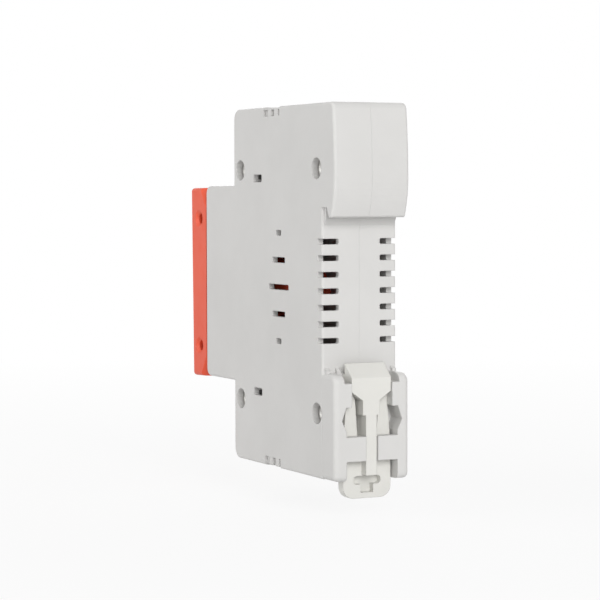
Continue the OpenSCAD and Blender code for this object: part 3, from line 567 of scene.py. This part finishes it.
def next_ring(scale):
    """Extrude the selected faces on the spot, then scale them about the origin."""
    bpy.ops.mesh.extrude_region_move(TRANSFORM_OT_translate={"value": ON_THE_SPOT})
    bpy.ops.transform.resize(value=scale, center_override=(0, 0, 0))


def settle_order():
    """Sort the edges and faces of the piece in edit mode by their distance from one place."""
    cursor = bpy.context.scene.cursor
    cursor.location = SORT_FROM
    bpy.ops.mesh.select_all(action="SELECT")
    bpy.ops.mesh.sort_elements(type="CURSOR_DISTANCE", elements={"EDGE", "FACE"})
    cursor.location = (0, 0, 0)


def smooth_piece(piece, angle):
    """Shade a piece smooth, with its edges over the angle left crisp."""
    start_fresh()
    piece.select_set(True)
    bpy.context.view_layer.objects.active = piece
    bpy.ops.object.shade_smooth_by_angle(angle=math.radians(angle))


rivets_low, rivets_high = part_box("housing_rivets")
print("plain rivets span in mm:", [round(v / MM, 2) for v in rivets_high - rivets_low])

# %% One rivet, turned ring by ring
RIVET_SIDES = 48
RIVET_SHANK = 1.3 * MM
RIVET_HEAD_DEPTH = 0.5 * MM
RIVET_SINK = 0.04 * MM
# Rings of the rolled lip in mm: how far each lies below the head's top, and its radius
RIVET_LIP = [(0.5, 2.25), (0.2, 2.25), (0.1, 2.2), (0.03, 2.02), (0.0, 1.7), (0.03, 1.38),
             (0.12, 1.1), (0.28, 0.88), (0.5, 0.76), (2.0, 0.65)]

rivet_top = rivets_high.x - RIVET_SINK
start_fresh()
bpy.ops.mesh.primitive_cylinder_add(
    vertices=RIVET_SIDES, radius=RIVET_SHANK, depth=2 * (rivet_top - RIVET_HEAD_DEPTH),
    rotation=(0, math.pi / 2, 0))
rolled_rivets = bpy.context.object
rolled_rivets.name = "rolled_rivets"
bpy.ops.object.transform_apply(location=True, rotation=True, scale=True)
pick_faces(rolled_rivets, lambda middle, normal: abs(normal.x) > FACING)
ring_x, ring_r = rivet_top - RIVET_HEAD_DEPTH, RIVET_SHANK
for depth, radius in RIVET_LIP:
    x, r = rivet_top - depth * MM, radius * MM
    next_ring((x / ring_x, r / ring_r, r / ring_r))
    ring_x, ring_r = x, r
settle_order()
start_fresh()
print("rivet faces:", len(rolled_rivets.data.polygons))

# %% Copies at the four corners
# The plain heads' radius leads from the edges of their common box to each rivet's middle
RIVET_HEAD = 2.15 * MM
RIVET_CREASE = 35

rivet_corners = [
    (0, y, z)
    for y in (rivets_low.y + RIVET_HEAD, rivets_high.y - RIVET_HEAD)
    for z in (rivets_low.z + RIVET_HEAD, rivets_high.z - RIVET_HEAD)
]
rivet_set = [rolled_rivets]
for corner in rivet_corners[1:]:
    start_fresh()
    rolled_rivets.select_set(True)
    bpy.context.view_layer.objects.active = rolled_rivets
    bpy.ops.object.duplicate(linked=False)
    bpy.context.object.location = corner
    rivet_set.append(bpy.context.object)
rolled_rivets.location = rivet_corners[0]
start_fresh()
for rivet in rivet_set:
    rivet.select_set(True)
bpy.context.view_layer.objects.active = rolled_rivets
bpy.ops.object.join()
bpy.ops.object.transform_apply(location=True, rotation=True, scale=True)
smooth_piece(rolled_rivets, RIVET_CREASE)
rolled_rivets.data.materials.append(rivet_nickel)
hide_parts("housing_rivets")
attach(rolled_rivets, "housing")
print("rivets:", len(rivet_corners), "faces:", len(rolled_rivets.data.polygons))

# %% [markdown]
# ## Ferrules of the fuse
#
# Each end of the cartridge fuse has a silver-plated cap, deep drawn from sheet, so its end rolls
# over in a small radius and carries a shallow dimple. A groove is rolled round it to lock it on
# the ceramic. The CAD caps are plain cups. The ferrule is grown from a thin disc in the same way
# as the rivet, ring by ring, now along the fuse, and then hollowed from its open end by an inset
# and one extrusion.

# %% One ferrule, ring by ring
FERRULE_SIDES = 64
FERRULE_WALL = 0.4 * MM
FERRULE_END = 0.8 * MM
# Rings from the open rim to the closed end: height as a share of the ferrule, and radius in mm
FERRULE_RIM = (0.015, 5.15)
FERRULE_RINGS = [(0.13, 5.15), (0.16, 5.0), (0.2, 5.0), (0.23, 5.15), (0.945, 5.15), (0.975, 5.09),
                 (0.993, 4.93), (1.0, 4.65), (1.0, 1.7), (0.985, 1.45), (0.982, 0.4)]
# Faces lower than this share of the ferrule belong to its open rim
RIM_SHARE = 0.001


def ferrule(name, node):
    """A drawn ferrule, standing on its open rim at the origin, with its node's foot and length."""
    low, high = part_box(node)
    length = high.z - low.z
    start_fresh()
    bpy.ops.mesh.primitive_cylinder_add(
        vertices=FERRULE_SIDES, radius=FERRULE_RIM[1] * MM, depth=FERRULE_RIM[0] * length,
        location=(0, 0, FERRULE_RIM[0] * length / 2))
    piece = bpy.context.object
    piece.name = name
    bpy.ops.object.transform_apply(location=True, rotation=True, scale=True)
    pick_faces(piece, lambda middle, normal: normal.z > FACING)
    ring_h, ring_r = FERRULE_RIM
    for share, radius in FERRULE_RINGS:
        next_ring((radius / ring_r, radius / ring_r, share / ring_h))
        ring_h, ring_r = share, radius
    rim_top = RIM_SHARE * length
    pick_faces(piece, lambda middle, normal: normal.z < -FACING and middle.z < rim_top)
    bpy.ops.mesh.inset(thickness=FERRULE_WALL)
    hollow = (0, 0, length - FERRULE_END)
    bpy.ops.mesh.extrude_region_move(TRANSFORM_OT_translate={"value": hollow})
    settle_order()
    start_fresh()
    foot = Vector(((low.x + high.x) / 2, (low.y + high.y) / 2, low.z))
    return piece, foot, length


upper_ferrule, upper_rim, ferrule_length = ferrule("upper_ferrule", "fuse_cap_upper")
lower_ferrule, lower_end, _ = ferrule("lower_ferrule", "fuse_cap_lower")
ferrule_faces = len(upper_ferrule.data.polygons)
print("ferrule length in mm:", round(ferrule_length / MM, 2), "faces:", ferrule_faces)

# %% Both ferrules to their ends of the fuse
FERRULE_CREASE = 40

upper_ferrule.location = upper_rim
lower_ferrule.rotation_euler = (math.pi, 0, 0)
lower_ferrule.location = lower_end + Vector((0, 0, ferrule_length))
for piece, node in ((upper_ferrule, "fuse_cap_upper"), (lower_ferrule, "fuse_cap_lower")):
    start_fresh()
    piece.select_set(True)
    bpy.context.view_layer.objects.active = piece
    bpy.ops.object.transform_apply(location=True, rotation=True, scale=True)
    smooth_piece(piece, FERRULE_CREASE)
    piece.data.materials.append(silver_plate)
    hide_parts(node)
    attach(piece, "carrier")
print("ferrules:", upper_ferrule.name, lower_ferrule.name)
